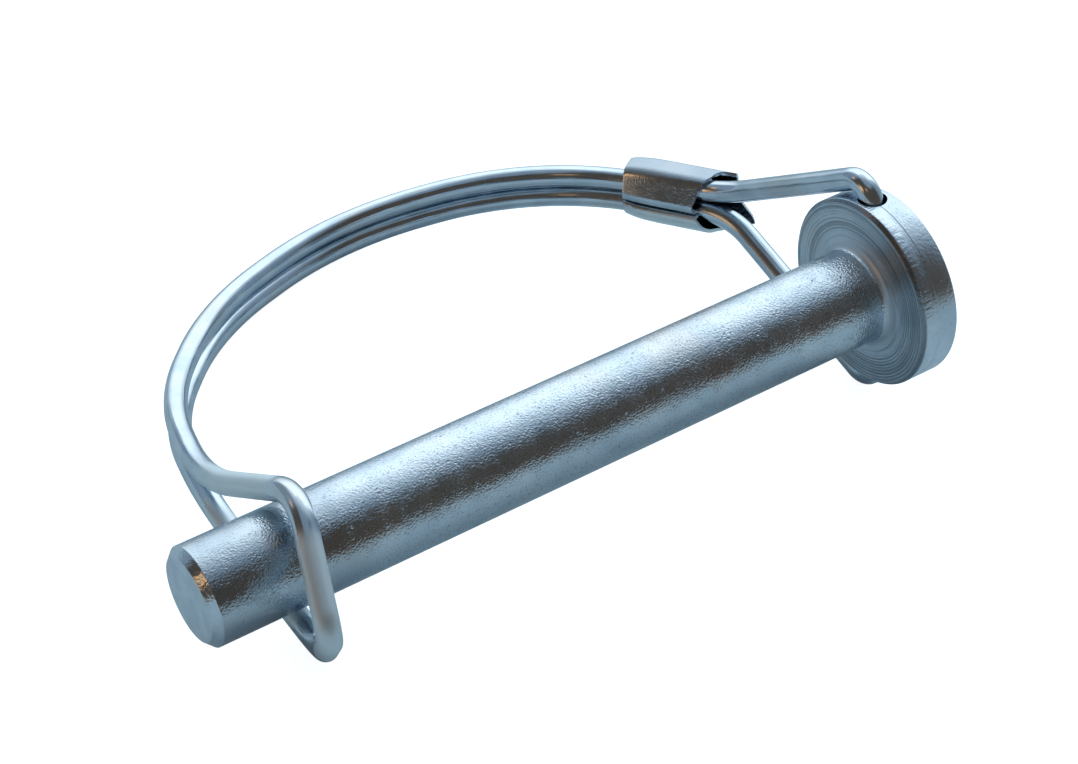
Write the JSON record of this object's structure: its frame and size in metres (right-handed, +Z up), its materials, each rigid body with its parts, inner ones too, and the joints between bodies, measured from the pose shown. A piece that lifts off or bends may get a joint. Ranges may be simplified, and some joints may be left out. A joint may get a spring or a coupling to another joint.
{
  "type": "wire-lock pin",
  "caption": "Turned locking pin with a spring-wire bail: the wire hinges in the head, runs as a double strand through a crimped ferrule and snaps round the shank near the tip.",
  "frame": {"origin": "on the shank's axis, at the seat under the head", "axes": "+Z up as the part lies on a table, +X along the pin towards the head, whose end lies about 3 degrees higher than the tip, +Y towards the arc of the bail"},
  "size_m": [0.0828, 0.0619, 0.0251],
  "materials": {
    "zinc_pin": "bright zinc, fine grained",
    "zinc_wire": "bright zinc, smooth drawn wire",
    "zinc_ferrule": "bright zinc, smooth sheet"
  },
  "bodies": {
    "pin": {"pin": "zinc_pin"},
    "bail": {"bail_wire": "zinc_wire", "ferrule": "zinc_ferrule"}
  },
  "joints": [
    {"name": "bail_swing", "type": "hinge", "parent": "pin", "child": "bail", "pos_m": [0.0022, 0, 0.00013], "axis": [0.0582, -0.1717, -0.9834], "range_deg": [0, 235], "deforming": ["bail_wire"]}
  ]
}
